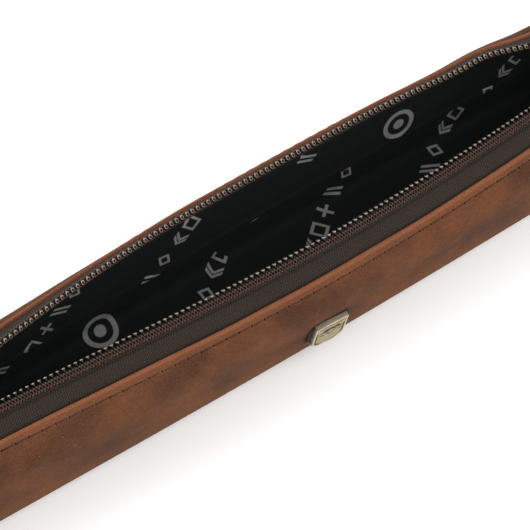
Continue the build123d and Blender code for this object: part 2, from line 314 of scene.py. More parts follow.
class Surface:
    """A material under construction."""

    def __init__(self, name):
        self.material = bpy.data.materials.new(name)
        self.material.use_nodes = True
        self.tree = self.material.node_tree
        self.shader = self.tree.nodes["Principled BSDF"]
        # Textures follow the piece's own flat pattern, in millimetres
        self.place = self.attribute("flat").outputs["Vector"]

    def attribute(self, name):
        node = self.tree.nodes.new("ShaderNodeAttribute")
        node.attribute_name = name
        return node

    def number(self, name):
        return Num(self.tree, self.attribute(name).outputs["Fac"])

    def parts(self, source):
        """The first two numbers of a vector."""
        node = self.tree.nodes.new("ShaderNodeSeparateXYZ")
        self.tree.links.new(source, node.inputs[0])
        return Num(self.tree, node.outputs[0]), Num(self.tree, node.outputs[1])

    def noise(self, size, detail=4, rough=0.55, warp=0.0, stretch=None):
        node = self.tree.nodes.new("ShaderNodeTexNoise")
        source = self.place
        if stretch:
            scale = self.tree.nodes.new("ShaderNodeVectorMath")
            scale.operation = "MULTIPLY"
            self.tree.links.new(source, scale.inputs[0])
            scale.inputs[1].default_value = stretch
            source = scale.outputs[0]
        self.tree.links.new(source, node.inputs["Vector"])
        values = {"Scale": 1 / size, "Detail": detail, "Roughness": rough, "Distortion": warp}
        for slot, value in values.items():
            node.inputs[slot].default_value = value
        return Num(self.tree, node.outputs["Fac"])

    def cells(self, size, feature="F1"):
        node = self.tree.nodes.new("ShaderNodeTexVoronoi")
        self.tree.links.new(self.place, node.inputs["Vector"])
        node.feature = feature
        node.inputs["Scale"].default_value = 1 / size
        return Num(self.tree, node.outputs["Distance"])

    def mix(self, amount, first, second):
        node = self.tree.nodes.new("ShaderNodeMix")
        node.data_type = "RGBA"
        self.tree.links.new(amount.socket, node.inputs["Factor"])
        feed(self.tree, node.inputs[6], first)
        feed(self.tree, node.inputs[7], second)
        return node.outputs[2]

    def finish(self, color, roughness, metallic=0.0, bump=None, depth=0.1, specular=0.4, sheen=0.0):
        values = {"Base Color": color, "Roughness": roughness, "Metallic": metallic}
        values |= {"Specular IOR Level": specular, "Sheen Weight": sheen}
        for slot, value in values.items():
            feed(self.tree, self.shader.inputs[slot], value)
        if bump is not None:
            node = self.tree.nodes.new("ShaderNodeBump")
            node.inputs["Distance"].default_value = depth / 1000
            node.inputs["Strength"].default_value = 1.0
            self.tree.links.new(bump.socket, node.inputs["Height"])
            self.tree.links.new(node.outputs["Normal"], self.shader.inputs["Normal"])
        return self.material


def leather_surface(name):
    s = Surface(name)
    edge = s.number("edge")
    patches = s.noise(30, 4, 0.5, 0.2)
    fine = s.noise(3.2, 6, 0.65, 0.3)
    scuffs = s.noise(11, 5, 0.6, 0.3, (0.8, 1.1, 1))
    color = s.mix(patches.smooth(0.3, 0.72), tone(76, 50, 37), tone(112, 70, 47))
    color = s.mix(scuffs.smooth(0.5, 0.74) * 0.35, color, tone(124, 78, 52))
    color = s.mix(fine.smooth(0.35, 0.7) * 0.3, color, tone(64, 42, 31))
    # Painted reflection of the white floor: the leather is lightened towards the bottom corner
    low = s.number("low")
    color = s.mix(low * 0.35, color, tone(124, 88, 62))
    # The hem lighter towards its fold: partly the stretched leather's own lighter colour, partly painted
    # light where it faces up, with a painted highlight along the fold
    color = s.mix(edge.smooth(0.0, 0.35) * 0.6, color, tone(122, 75, 51))
    color = s.mix(edge.smooth(0.78, 1.0) * 0.6, color, tone(144, 91, 64))
    specks = s.cells(2.6).below(0.11, 0.05)
    sparse = s.noise(5.0, 2).smooth(0.58, 0.66)
    color = s.mix(specks * sparse * 0.5, color, tone(170, 124, 92))
    speckle = s.noise(0.62, 4, 0.75)
    color = s.mix(speckle.smooth(0.5, 0.7) * 0.3, color, tone(160, 110, 80))
    color = s.mix(speckle.smooth(0.5, 0.32) * 0.42, color, tone(44, 29, 21))
    grain = s.cells(0.85, "DISTANCE_TO_EDGE")
    height = grain.smooth(0.0, 0.22) * 0.5 + fine * 0.7 + s.noise(0.5, 3) * 0.35
    rough = patches.smooth(0.3, 0.7) * 0.1 + 0.68
    return s.finish(color, rough, bump=height, depth=0.3, specular=0.05)


def lining_surface():
    """Near-black woven cloth with slanted rows of small printed shapes. mark is (along, across) the rows."""
    s = Surface("lining")
    x, y = s.parts(s.place)
    weave = x.wave(0.5) * y.wave(0.5) * 0.5 + 0.5
    along, across = s.parts(s.attribute("mark").outputs["Vector"])
    row = (across * (1 / ROW_PITCH) + 0.5).math("FLOOR")
    v = across - row * ROW_PITCH
    shifted = (along + row * ROW_SHIFT) * (1 / PRINT_PERIOD)
    w = shifted.math("FRACT") * PRINT_PERIOD
    cell = ((w + GLYPH_PITCH / 2) * (1 / GLYPH_PITCH)).math("FLOOR")
    u = w - cell * GLYPH_PITCH
    kind = cell.math("MODULO", 5.0)
    au, av = abs(u), abs(v)
    wide, tall, line, soft = 3.1, 3.7, 0.68, 0.15
    height = av.below(tall, soft)
    rim = (au * (tall / wide)).most(av)
    square = abs(rim - (tall - line)).below(line, soft)
    diamond = abs(au * (tall / wide) + av - (tall - line)).below(line * 1.25, soft)
    chevrons = [abs(u + av * 0.8 + shift).below(line * 1.1, soft) * height for shift in (-1.2, 0.9)]
    slashes = abs(abs(u + v * 0.45) - 1.3).below(line, soft) * height
    cross = (au.below(line, soft) * height).most(av.below(line, soft) * au.below(wide, soft))
    shape = kind.below(0.5, 0.1) * square
    for index, piece in ((1, chevrons[0].most(chevrons[1])), (2, diamond), (3, slashes), (4, cross)):
        shape = shape + abs(kind - float(index)).below(0.5, 0.1) * piece
    marks = shape * cell.below(GLYPHS - 0.5, 0.1)
    # A larger mark before each group: a plain ring round a dot
    beside = w - (PRINT_PERIOD - 24.0)
    reach = (beside * beside + v * v).math("SQRT")
    emblem = abs(reach - 6.6).below(1.1, 0.2).most(reach.below(2.6, 0.2))
    printed = marks.most(emblem) * (s.noise(0.7, 3).smooth(0.2, 0.55) * 0.3 + 0.7)
    color = s.mix(weave * 0.5 + s.noise(18, 3) * 0.4, tone(11, 14, 15), tone(24, 28, 29))
    color = s.mix(printed, color, tone(150, 150, 147))
    height = weave * 0.35 + s.noise(6, 3) * 1.2 + printed * 0.3
    return s.finish(color, 0.78, bump=height, depth=0.12, specular=0.2, sheen=0.03)


def tape_surface():
    """Knitted zip tape: small rows of loops, with a channel beside the teeth, darkened as painted shade in
    its groove, and shade beside the leather.
    """
    s = Surface("zip_tape")
    x, y = s.parts(s.place)
    lean = y.wave(1.3) * 0.22
    loop = (x + lean).wave(1.1) * y.wave(0.95) * 0.5 + 0.5
    fuzz = s.noise(0.5, 3)
    worn = s.noise(8, 4)
    lightness = (loop * 0.9 + fuzz * 0.5 + worn * 0.2).smooth(0.35, 1.25)
    color = s.mix(lightness, tone(18, 14, 12), tone(70, 59, 52))
    # Painted shade: darker along the channel's groove beside the teeth, and along the first 2 mm beside the
    # leather
    channel = abs(y - 8.8).below(0.5, 0.5) * 0.6
    shade = y.below(2.0, 0.9)
    color = s.mix(channel.most(shade) * 0.75, color, tone(14, 11, 9))
    height = loop * 1.2 + fuzz * 0.5 - channel * 1.5
    return s.finish(color, 0.85, bump=height, depth=0.3, specular=0.15, sheen=0.03)


def cord_surface(name, dark, light):
    s = Surface(name)
    x, y = s.parts(s.place)
    ply = (x + y * 0.9).wave(0.5) * 0.5 + 0.5
    color = s.mix(ply * 0.6 + s.noise(3, 3) * 0.4, dark, light)
    return s.finish(color, 0.75, bump=ply, depth=0.08, specular=0.25)


def metal_surface(name, dark, light, bright, rough=0.34):
    """Antique metal: dark in the hollows, and bright where the wear value is high, partly rubbed wear and
    partly painted glints.
    """
    s = Surface(name)
    wear = s.number("wear")
    blotch = s.noise(1.6, 4)
    color = s.mix((wear * 0.9 + blotch * 0.35).smooth(0.2, 0.85), dark, light)
    # The brightest tone at the highest values: partly rubbed wear, partly painted glints
    color = s.mix((wear + blotch * 0.2).smooth(0.85, 1.15), color, bright)
    roughness = wear * -0.12 + rough + 0.12
    return s.finish(color, roughness, 0.92, bump=s.noise(0.35, 3), depth=0.03, specular=0.5)


# Painted shade: the dark inside of a stitch hole
def hole_surface():
    s = Surface("stitch_hole")
    color = s.mix(s.noise(0.3, 2), tone(12, 8, 6), tone(24, 15, 11))
    return s.finish(color, 0.9, specular=0.1)


def thread_surface():
    s = Surface("thread")
    x, y = s.parts(s.place)
    twist = (x + y * 0.8).wave(0.55) * 0.5 + 0.5
    color = s.mix(twist, tone(26, 15, 10), tone(52, 33, 24))
    return s.finish(color, 0.6, bump=twist, depth=0.06, specular=0.35)


PRINT_ANGLE, ROW_PITCH, ROW_SHIFT, PRINT_PERIOD = 220.0, 36.7, 72.5, 145.0
GLYPH_PITCH, GLYPHS = 9.7, 9

leather = leather_surface("leather")
lining_cloth = lining_surface()
tape_cloth = tape_surface()
cord_cloth = cord_surface("cord", tone(58, 42, 37), tone(106, 82, 72))
cord_dark = cord_surface("cord_core", tone(26, 19, 16), tone(52, 39, 33))
zip_metal = metal_surface("zip_metal", tone(20, 15, 11), tone(86, 71, 58), tone(158, 149, 138))
badge_metal = metal_surface("badge_metal", tone(40, 36, 30), tone(160, 152, 140), tone(214, 206, 192), 0.3)
thread_cloth = thread_surface()
hole_dark = hole_surface()

# ---------------------------------------------------------------- soft bands along the case

WRAP_X = np.arange(-END_X, END_X + 0.01, STITCH / (4))
WRAP_X = WRAP_X + (END_X - WRAP_X[-1]) * (WRAP_X + END_X) / (2 * END_X)


BOTTOM_POINTS, CORNER_POINTS, WALL_POINTS, SHOULDER_POINTS = 6, 9, 14, 8
HEM_START = BOTTOM_POINTS + CORNER_POINTS + WALL_POINTS + SHOULDER_POINTS
STITCH_POINT, HEM_POINTS = 6, 11


def leather_runs(lip, x):
    """Round the leather's section: outside from the bottom's middle to the hem's fold, and back inside."""
    bottom = [(h, 0.0, 0.0) for h in np.linspace(0, 18, BOTTOM_POINTS)]
    corner = arc_points((19, 8), 8, -90, 0, CORNER_POINTS, (0, 0))
    hem_h = (20.4, 19.6, 18.8, 18.1, 17.6, 17.3, 17.0, 16.7, 16.3, 15.6, 14.9)
    hem = []
    for h in hem_h:
        groove = -0.2 * bump_at(h, STITCH_LINE, 0.4)
        puff = 0.06 * math.sin(math.pi * min(1, max(0, (STITCH_LINE - h) / 4)))
        hem.append((h, HEIGHT + groove + puff, 1.0 if h < 18 else 0.93 + 0.07 * (21 - h) / 3))
    fold = arc_points((13.95, 44.1), 0.95, 84, 180, 6, (1, 1))
    fold += arc_points((13.95, 43.2), 0.95, 200, 270, 3, (1, 1))
    under = [(h, TAPE_TOP + 0.05, 1.0) for h in (15.4, 17.0)] + [(18.2, 42.9, 0.97)]
    yield placed_run(lip, x, bottom)
    yield placed_run(lip, x, corner)
    yield wall_run(lip, x, 0, 0.06, 0.97, WALL_POINTS)
    shoulder = arc_points((21, SHOULDER), TOP_RADIUS, 4, 88, SHOULDER_POINTS, (WALL_TURN, 0.93))
    yield placed_run(lip, x, shoulder)
    yield placed_run(lip, x, hem)
    yield placed_run(lip, x, fold)
    yield placed_run(lip, x, under)
    yield placed_run(lip, x, inner_shoulder(LEATHER)[::-1])
    yield wall_run(lip, x, LEATHER, 0.97, 0.03, 7)
    yield placed_run(lip, x, arc_points((19, 8), 8 - LEATHER, 0, -90, 5, (0, 0)))
    yield placed_run(lip, x, [(12.0, LEATHER, 0.0), (0.0, LEATHER, 0.0)])


def leather_extra(points, flat):
    """edge is 1 at the hem's fold and falls past the stitches, and lightens the hem partly for its stretched
    leather and partly as painted light; low is 1 at the bottom corner, where it paints the floor's
    reflection.
    """
    along = flat[0, :, 1]
    hem_start = along[HEM_START + STITCH_POINT]
    fold_end = along[HEM_START + HEM_POINTS + 3]
    edge = np.clip((along - hem_start + 1.0) / (fold_end - hem_start), 0, 1)
    edge = np.where(along > fold_end + 6, 0.3, edge)
    low = bump_at(along, 34, 7) + 0.3 * bump_at(along, 26, 5)
    return {"edge": np.tile(edge, len(points)), "low": np.tile(low, len(points))}


def eased(points, first, last, amount):
    """The columns between first and last drawn along one smooth curve, as far as amount says."""
    gaps = np.linalg.norm(np.diff(points[:, first : last + 1], axis=1), axis=2)
    t = np.concatenate([np.zeros((len(points), 1)), np.cumsum(gaps, 1)], 1)
    total = t[:, -1:]
    t = (t / total)[..., None]
    start, end = points[:, first, None], points[:, last, None]
    lead = start - points[:, first - 1, None]
    tail = points[:, last + 1, None] - end
    lead, tail = (v / np.linalg.norm(v, axis=2, keepdims=True) * total[..., None] for v in (lead, tail))
    curve = (2 * t**3 - 3 * t**2 + 1) * start + (t**3 - 2 * t**2 + t) * lead
    curve = curve + (3 * t**2 - 2 * t**3) * end + (t**3 - t**2) * tail
    out = points.copy()
    out[:, first : last + 1] += (curve - points[:, first : last + 1]) * amount[:, None, None]
    return out


def leather_ruffle(points, flat, lip):
    """Soft unevenness of the hide, and the pull of each stitch beside the hem."""
    wall_start = BOTTOM_POINTS + CORNER_POINTS
    amount = np.clip(share(points[:, 0, 0]) * 3, 0, 1)
    out = eased(points, wall_start + 3, wall_start + WALL_POINTS + 5, amount)
    x, s = flat[..., 0], flat[..., 1]
    swell = 0.1 * np.sin(x / 23.0 + 1.3 * np.sin(s / 11.0) + lip["side"]) * np.sin(s / 9.0 + x / 61.0)
    swell = swell + 0.05 * np.sin(x / 9.1 + s / 7.3) * np.sin(x / 31.0 - s / 5.0)
    outer = (s > 30) & (s < 78)
    fade = np.clip((s - 30) / 8, 0, 1) * np.clip((78 - s) / 10, 0, 1)
    out[..., 1] += lip["side"] * np.where(outer, swell * fade, 0)
    stitch_at = s[0, HEM_START + STITCH_POINT]
    out[..., 2] += 0.14 * np.cos(2 * np.pi * x / STITCH) * bump_at(s, stitch_at, 1.3)
    wave = 0.18 * np.sin(x / 17.0 + lip["side"]) + 0.12 * np.sin(x / 7.7)
    out[..., 2] += wave * bump_at(s, stitch_at + 4, 5)
    return out


def tape_runs(lip, x):
    def rise(h):
        k = min(1, max(0, (h - 5.6) / 6.5))
        return 1.35 * k * k * (3 - 2 * k)

    top = [(h, TAPE_TOP - 0.06 + 0.05 * math.sin(h) + rise(h), 1.0) for h in np.linspace(14.2, 3.2, 14)]
    bottom = [(h, TAPE_BOTTOM + rise(h), 1.0) for h in np.linspace(3.2, 14.2, 10)]
    yield placed_run(lip, x, top)
    yield placed_run(lip, x, bottom)


def cord_runs(lip, x):
    """The tape's corded edge, a flattened round between the teeth's legs."""
    ring = arc_points((CORD_CENTRE, TAPE_MIDDLE - 0.1), 0.76, 0, 330, 12, (1, 1))
    yield placed_run(lip, x, [(CORD_CENTRE + (h - CORD_CENTRE) * 2.2, z, t) for h, z, t in ring])


def strand(name, lip, phase, lift):
    """A thread that weaves from side to side over or under the teeth's legs, once per tooth."""
    swing, radius = 1.15, 0.38
    x = np.arange(-END_X + 4, END_X - 4, 0.32)
    turn_at = 2 * math.pi * x / PITCH + phase
    half = 2.5 + swing * np.sin(turn_at)
    height = TAPE_MIDDLE + lift + 0.2 * np.cos(turn_at) * np.sign(lift)
    angles = 2 * math.pi * np.arange(6) / 6
    halves = half[:, None] + radius * np.cos(angles)[None, :]
    heights = height[:, None] + radius * np.sin(angles)[None, :]
    points = opened(lip, x[:, None], halves, heights, 1.0)
    flat = np.stack([np.broadcast_to(x[:, None], halves.shape), halves, heights], -1)
    attributes = {"flat": flat.reshape(-1, 3)}
    obj = obj_from(name, points.reshape(-1, 3), tube_faces(len(x), 6), cord_cloth, attributes=attributes)
    bend_with(obj, lip, np.broadcast_to(share(x[:, None], lip["reach"]), halves.shape))


def lining_path(lip, x, depth):
    """From under the tape, over the shoulder and down the wall."""
    line = ((4.4, 41.05), (6, 41.0), (9, 40.9), (13, 40.8), (16.8, 40.6))
    under = [(h, z + INSIDE - depth, 1.0) for h, z in line]
    yield placed_run(lip, x, under)
    yield placed_run(lip, x, inner_shoulder(depth)[::-1][1:])


def backwards(runs):
    return [(points[:, ::-1], turns[::-1]) for points, turns in reversed(list(runs))]


def front_lining_runs(lip, x):
    def run(depth):
        yield from lining_path(lip, x, depth)
        yield wall_run(lip, x, depth, 0.95, 0.04, 12)
        yield placed_run(lip, x, arc_points((19, 8), 8 - depth, 0, -90, 6, (0, 0)))
        yield placed_run(lip, x, [(h, depth, 0.0) for h in (15, 10, 5)])
        # The far side stays with the case
        far = [
            placed_run(BACK, x, [(h, depth, 0.0) for h in (0, 5, 10, 15, 19)]),
            placed_run(BACK, x, arc_points((19, 8), 8 - depth, -80, 0, 6, (0, 0))),
            wall_run(BACK, x, depth, 0.06, 0.3, 4),
        ]
        yield from ((points, turns * 0) for points, turns in far)

    return list(run(INSIDE)) + backwards(run(INSIDE - 0.5))


def back_lining_runs(lip, x):
    def run(depth):
        yield from lining_path(lip, x, depth)
        yield wall_run(lip, x, depth, 0.95, 0.34, 10)

    lower = wall_run(lip, x, INSIDE + 0.75, 0.33, 0.27, 4)
    back = wall_run(lip, x, INSIDE + 0.15, 0.265, 0.3, 2)
    return list(run(INSIDE + 0.3)) + [lower, back] + backwards(run(INSIDE - 0.4))


def lining_ruffle(points, flat, lip):
    """Slack in the cloth: shallow folds down the walls and a wavy lower edge."""
    out = points.copy()
    x, s = flat[..., 0], flat[..., 1]
    wide = share(x)
    slack = 0.35 * np.sin(x / 13.0 + 0.8 * np.sin(s / 6.0)) + 0.25 * np.sin(x / 5.3 + s / 9.0)
    hold = np.clip(s / 6, 0, 1)
    inward = np.where(out[..., 1] > 0, -1, 1)
    wall = np.clip((np.abs(out[..., 1]) - 18) / 6, 0, 1)
    out[..., 1] += inward * (slack * 0.5 + 0.3) * wall * hold * np.clip(wide * 3, 0.2, 1) * 0.6
    out[..., 2] += (slack * 0.3 + 0.15) * (1 - wall)
    return out


LINING_X = WRAP_X[:: 2]
# The eye of a stitch hole: a small dark piece on the leather that paints the shade inside the hole
EYE = [(-0.42, 0.1, 0.05), (-0.3, 0.32, 0.12), (0.3, 0.32, 0.12), (0.42, 0.1, 0.05)]
for name, lip in LIPS.items():
    runs = list(leather_runs(lip, WRAP_X))
    wrap = band(f"{name}_leather", lip, WRAP_X, runs, leather, leather_extra, leather_ruffle)
    tape = band(f"{name}_tape", lip, WRAP_X, list(tape_runs(lip, WRAP_X)), tape_cloth)
    cord_x = np.arange(-END_X + 3, END_X - 3, 0.42)
    band(f"{name}_cord", lip, cord_x, list(cord_runs(lip, cord_x)), cord_dark)
    for side, level in (("upper", 1.0), ("under", -1.0)):
        for index, phase in enumerate((0.0, math.pi)):
            strand(f"{name}_{side}_strand_{index}", lip, phase + 1.2, level)
    holes = np.arange(-END_X + 4, END_X - 3, STITCH)
    piece = thread_piece(5.0, 0.2, 0.35)
    line = (STITCH_LINE, HEIGHT - 0.09)
    stitches = strewn(f"{name}_stitches", lip, *piece, holes, line, thread_cloth, jitter=0.25, tilt=-2)
    eye = rings(EYE, 8, 2)
    line = (STITCH_LINE, HEIGHT - 0.12)
    strewn(f"{name}_stitch_holes", lip, *eye, holes + STITCH / 2, line, hole_dark, jitter=0.3)
    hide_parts(f"{name}_hem_stitching")
    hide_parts(f"{name}_zip_tape")

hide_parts("outer_leather", "front_hem", "front_padding", "floor_stiffener")
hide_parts("back_hem", "back_padding")


def print_marks(zero, sense, start, first_row):
    """The printed rows' own coordinates, from X and the distance across the cloth."""

    def extra(points, flat):
        slant = math.radians(PRINT_ANGLE)
        x, y = flat[..., 0], sense * (flat[..., 1] - zero(points, flat))
        along = x * math.cos(slant) + y * math.sin(slant) - start
        across = y * math.cos(slant) - x * math.sin(slant) - first_row
        return {"mark": np.stack([along, across, 0 * x], -1).reshape(-1, 3)}

    return extra


def floor_middle(points, flat):
    row = len(points) // 2
    inner = points[row, : points.shape[1] // 2]
    low = np.where(inner[:, 2] < 8)[0]
    nearest = low[np.argmin(np.abs(inner[low, 1]))]
    return flat[row, nearest, 1]


def lower_edge(points, flat):
    """The back cloth counts upwards from where the main cloth's pattern would reach its lower edge."""
    row = len(points) // 2
    return flat[row, np.argmin(points[row, :, 2]), 1] + 38.5


runs = front_lining_runs(FRONT, LINING_X)
marks = print_marks(floor_middle, 1, -37.5, 21.4)
front_lining = band("main_lining_cloth", FRONT, LINING_X, runs, lining_cloth, marks, lining_ruffle)
runs = back_lining_runs(BACK, LINING_X)
marks = print_marks(lower_edge, -1, -25.6, 26.6)
back_lining = band("back_lining_cloth", BACK, LINING_X, runs, lining_cloth, marks, lining_ruffle)
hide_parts("main_lining")
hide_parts("back_lining")

# Lockstitches that hold the lining's edge under the tape
for name, lip in LIPS.items():
    places = np.arange(-END_X + 6, END_X - 5, 3.0)
    piece = thread_piece(2.3, 0.2, 0.3)
    strewn(f"{name}_tape_stitches", lip, *piece, places, (5.2, 40.95), cord_cloth, jitter=0.2)

# ---------------------------------------------------------------- zip teeth

# A tooth from its foot on the tape to its head, and how bright each section is: partly rubbed wear, partly
# painted glints on the head and foot
TOOTH = [
    (4.45, 0.3, 0.75),
    (4.3, 0.52, 1.05),
    (3.75, 0.55, 1.2),
    (3.4, 0.4, 1.22),
    (1.7, 0.36, 1.2),
    (0.35, 0.36, 1.14),
    (0.0, 0.62, 1.08),
    (-0.3, 0.8, 1.02),
    (-0.55, 0.78, 0.95),
    (-0.75, 0.6, 0.78),
    (-0.74, 0.42, 0.52),
    (-0.6, 0.3, 0.34),
]
tooth = rings(TOOTH)
tooth_wear = np.repeat([0.7, 0.85, 0.3, 0.1, 0.15, 0.3, 0.5, 0.8, 1.05, 0.95, 0.6, 0.2], 12)
STOP = [
    (4.2, 2.0, 1.2),
    (3.0, 2.3, 1.4),
    (1.2, 2.4, 1.45),
    (0.4, 2.2, 1.3),
    (0.2, 1.9, 1.1),
]
stop_wear = np.repeat([0.4, 0.7, 0.6, 0.8, 0.5], 16)
for name, lip in LIPS.items():
    offset = 0.0 if name == "front" else PITCH / 2
    places = np.arange(FIRST_TOOTH + offset, LAST_TOOTH, PITCH)
    row, by_post = places[places > POST_END], places[places <= POST_END]
    middle = (0.0, TAPE_MIDDLE)
    teeth = strewn(f"{name}_zip_teeth", lip, *tooth, row, middle, zip_metal, tooth_wear, jitter=0.04)
    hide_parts(f"{name}_teeth")
    # The last teeth stand off the middle, where the slider's post parts the rows
    aside = (1.5, TAPE_MIDDLE)
    strewn(f"{name}_first_teeth", lip, *tooth, by_post, aside, zip_metal, tooth_wear, jitter=0.04)
    middle = (0.05, TAPE_MIDDLE)
    end = strewn(f"{name}_stop", lip, *rings(STOP, 16, 4), [TOP_STOP_X], middle, zip_metal, stop_wear)
    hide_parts(f"{name}_top_stop")

# ---------------------------------------------------------------- plates: badge, slider, tabs and end panels

def rounded_rect(width, height, low, high, steps=7):
    """Outline of a rectangle round (0, 0), its lower corners and upper corners with their own radii."""
    points = []
    for cx, cy, radius, start in ((1, -1, low, -90), (1, 1, high, 0), (-1, 1, high, 90), (-1, -1, low, 180)):
        mx, my = cx * (width / 2 - radius), cy * (height / 2 - radius)
        for a in np.radians(np.linspace(start, start + 90, steps)):
            points.append((mx + radius * math.cos(a), my + radius * math.sin(a)))
    return dense(points)


def dense(points, gap=1.6):
    """The same outline with long straight sides divided."""
    out = []
    for p, q in zip(points, points[1:] + points[:1]):
        count = max(1, int(math.dist(p, q) / gap))
        out += [(p[0] + (q[0] - p[0]) * i / count, p[1] + (q[1] - p[1]) * i / count) for i in range(count)]
    return out


def inset(points, amount):
    """The outline moved inwards, or outwards where amount is negative."""
    p = np.array(points)
    tangent = np.roll(p, -1, 0) - np.roll(p, 1, 0)
    tangent /= np.maximum(np.linalg.norm(tangent, axis=1)[:, None], 1e-9)
    normal = np.stack([-tangent[:, 1], tangent[:, 0]], -1)
    area = np.sum(p[:, 0] * np.roll(p[:, 1], -1) - np.roll(p[:, 0], -1) * p[:, 1])
    return p + normal * amount * (1 if area > 0 else -1)


def plate(name, outline, levels, place, material, body, wear=None):
    """A closed piece through insets of an outline. Levels are (height, inset), place puts (a, b, n)."""
    deepest = 3.4
    verts, values, flats = [], [], []
    for i, (height, amount) in enumerate(levels):
        loop = inset(outline, min(amount, deepest) if amount >= 3.5 else amount)
        if amount >= 3.5:
            # Further in, the outline shrinks to its centre, so that it never crosses itself
            p = np.array(outline)
            centre = p.mean(0)
            size = np.abs(p - centre).max()
            loop = centre + (loop - centre) * max(0.02, 1 - (amount - deepest) / (size - deepest))
        for a, b in loop:
            verts.append(place(a, b, height))
            flats.append((a, b, height))
            values.append(wear[i] if wear else 0.4)
    faces = tube_faces(len(levels), len(outline))
    low = np.zeros(len(verts))
    return riding(name, verts, faces, material, body, flat=flats, wear=values, edge=values, low=low)


def sharpen(obj, degrees):
    """Smooth faces, with the sharper edges kept."""
    obj.data.set_sharp_from_angle(angle=math.radians(degrees))
    return obj


# Badge
BADGE = (133.8, -32.35, 17.5)
TURN, LEAN = math.radians(7.0), math.radians(6.5)
badge_x = Vector((math.cos(TURN), math.sin(TURN) * math.sin(LEAN), -math.sin(TURN) * math.cos(LEAN)))
badge_n = Vector((0, -math.cos(LEAN), -math.sin(LEAN)))
badge_y = badge_n.cross(badge_x)


def on_badge(a, b, n):
    return tuple(Vector(BADGE) + badge_x * a + badge_y * b + badge_n * n)


def shield_outline(half=8.0, top=6.9, low=-3.5, point=5.0):
    points = [(half * t, top + 0.55 * (1 - t * t)) for t in np.linspace(1, -1, 25)]
    points += [(-half, y) for y in np.linspace(top, low, 12)[1:]]
    curve = [
        (-math.cos(a) ** 0.9 * half if a < math.pi / 2 else 0, low - point * math.sin(a) ** 0.95)
        for a in np.linspace(0, math.pi / 2, 16)[1:]
    ]
    points += curve
    points += [(-x, y) for x, y in curve[-2::-1]]
    points += [(half, y) for y in np.linspace(low, top, 12)[:-1]]
    return points


def reeds(name, outline):
    """Fine ribs down the sloping top side of the badge."""
    verts, faces = [], []
    top = [x for x, y in outline if y > 6.5]
    for x in np.arange(top[-1] + 0.5, top[0] - 0.4, 0.52):
        y = 6.9 + 0.55 * (1 - (x / 8.0) ** 2)
        base = len(verts)
        for offset, n in ((0.72, 1.05), (0.1, 2.72)):
            for dx, lift in ((-0.22, 0.0), (0.0, 0.2), (0.22, 0.0)):
                verts.append(on_badge(x + dx, y + offset + lift * 0.7, n + lift))
        for face in ((0, 1, 4, 3), (1, 2, 5, 4), (0, 3, 5, 2), (0, 2, 1), (3, 4, 5)):
            faces.append(tuple(base + v for v in face))
    riding(name, verts, faces, badge_metal, "case_body", smooth=False, flat=verts, wear=[0.62] * len(verts))


def badge_surface():
    s = Surface("badge_face")
    a, b = s.parts(s.place)
    wear = s.number("wear")
    blotch = s.noise(1.5, 5)
    # Dark where the wear value is low, bright along the rim's top: the bright rim is partly rubbed wear,
    # partly painted glint
    color = s.mix((wear * 0.95 + blotch * 0.3).smooth(0.25, 0.9), tone(34, 29, 20), tone(166, 150, 116))
    color = s.mix((wear + blotch * 0.25).smooth(0.95, 1.2), color, tone(222, 210, 180))
    up = b - 1.6
    field = abs(a).below(5.6, 0.2) * abs(b - 1.4).below(4.4, 0.2)
    lozenge = abs(abs(a) + abs(up) * 1.15 - 2.5).below(0.5, 0.12)
    stripes = abs((up * 0.55).math("FRACT") - 0.5).below(0.26, 0.06)
    bars = abs(abs(a) - 4.3).below(1.1, 0.1) * stripes * abs(up).below(2.3, 0.1)
    mark = lozenge.most(bars) * field
    color = s.mix(mark * 0.95, color, tone(30, 26, 18))
    return s.finish(color, blotch * 0.12 + 0.3, 0.9, bump=blotch * 0.3 - mark * 2.0, depth=0.12, specular=0.5)


badge_face = badge_surface()
outline = shield_outline()
levels = [(0.0, -1.25), (0.7, -1.25), (0.95, -1.0), (1.0, -0.75), (2.75, -0.12), (2.95, 0.0), (3.05, 0.2)]
levels += [(3.05, 0.8), (2.65, 1.0), (2.62, 1.55), (2.95, 1.75), (3.05, 2.0), (3.12, 3.3), (3.16, 5.0)]
wear = [0.0, 0.02, 0.08, 0.0, 0.45, 0.85, 1.0, 0.95, 0.1, 0.0, 0.6, 0.78, 0.8, 0.8]
badge = plate("badge_shield", outline, levels, on_badge, badge_face, "case_body", wear)
sharpen(badge, 50)
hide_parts("badge")
reeds("badge_reeds", outline)

for side in (-1, 1):
    prong = rounded_rect(0.8, 2.2, 0.3, 0.3, 3)
    piece = plate(f"badge_prong_{side + 1}", prong, [(-2.4, 0.1), (-2.2, 0), (0.1, 0)],
                  lambda a, b, n: on_badge(a + side * 4.0, b, n), badge_metal, "case_body", [0.3, 0.4, 0.4])
    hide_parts("badge_prongs")
outline = rounded_rect(12, 7, 2, 2)
levels = [(-2.45, 0.1), (-2.4, 0), (-2.0, 0), (-1.95, 0.1)]
wear = [0.3, 0.5, 0.5, 0.3]
washer = plate("badge_back_plate", outline, levels, on_badge, badge_metal, "case_body", wear)
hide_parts("badge_washer")

def laid_threads(name, piece, places):
    """Copies of one stitch, each through its own place function, on the end of the case."""
    verts, faces = [], []
    for place in places:
        start = len(verts)
        verts += [place(*v) for v in piece[0]]
        faces += [tuple(v + start for v in f) for f in piece[1]]
    return riding(name, verts, faces, thread_cloth, "case_body", flat=verts)


def places_round(outline, on_end):
    """A place function for each stitch along an outline."""
    gaps = np.linalg.norm(np.roll(outline, -1, 0) - outline, axis=1)
    total = gaps.sum()
    run = np.concatenate([[0], np.cumsum(gaps)])
    closed = np.vstack([outline, outline[:1]])

    def spot(at):
        return np.array([np.interp(at, run, closed[:, 0]), np.interp(at, run, closed[:, 1])])

    number = int(round(total / STITCH))
    for i in range(number):
        at = (i + 0.5) * total / number
        p = spot(at)
        d = spot(min(at + 0.5, total)) - p
        d = d / max(np.linalg.norm(d), 1e-9)
        n = np.array((-d[1], d[0]))
        yield lambda x, y, z, p=p, d=d, n=n: on_end(*(p + d * x + n * y), 1.78 + z)


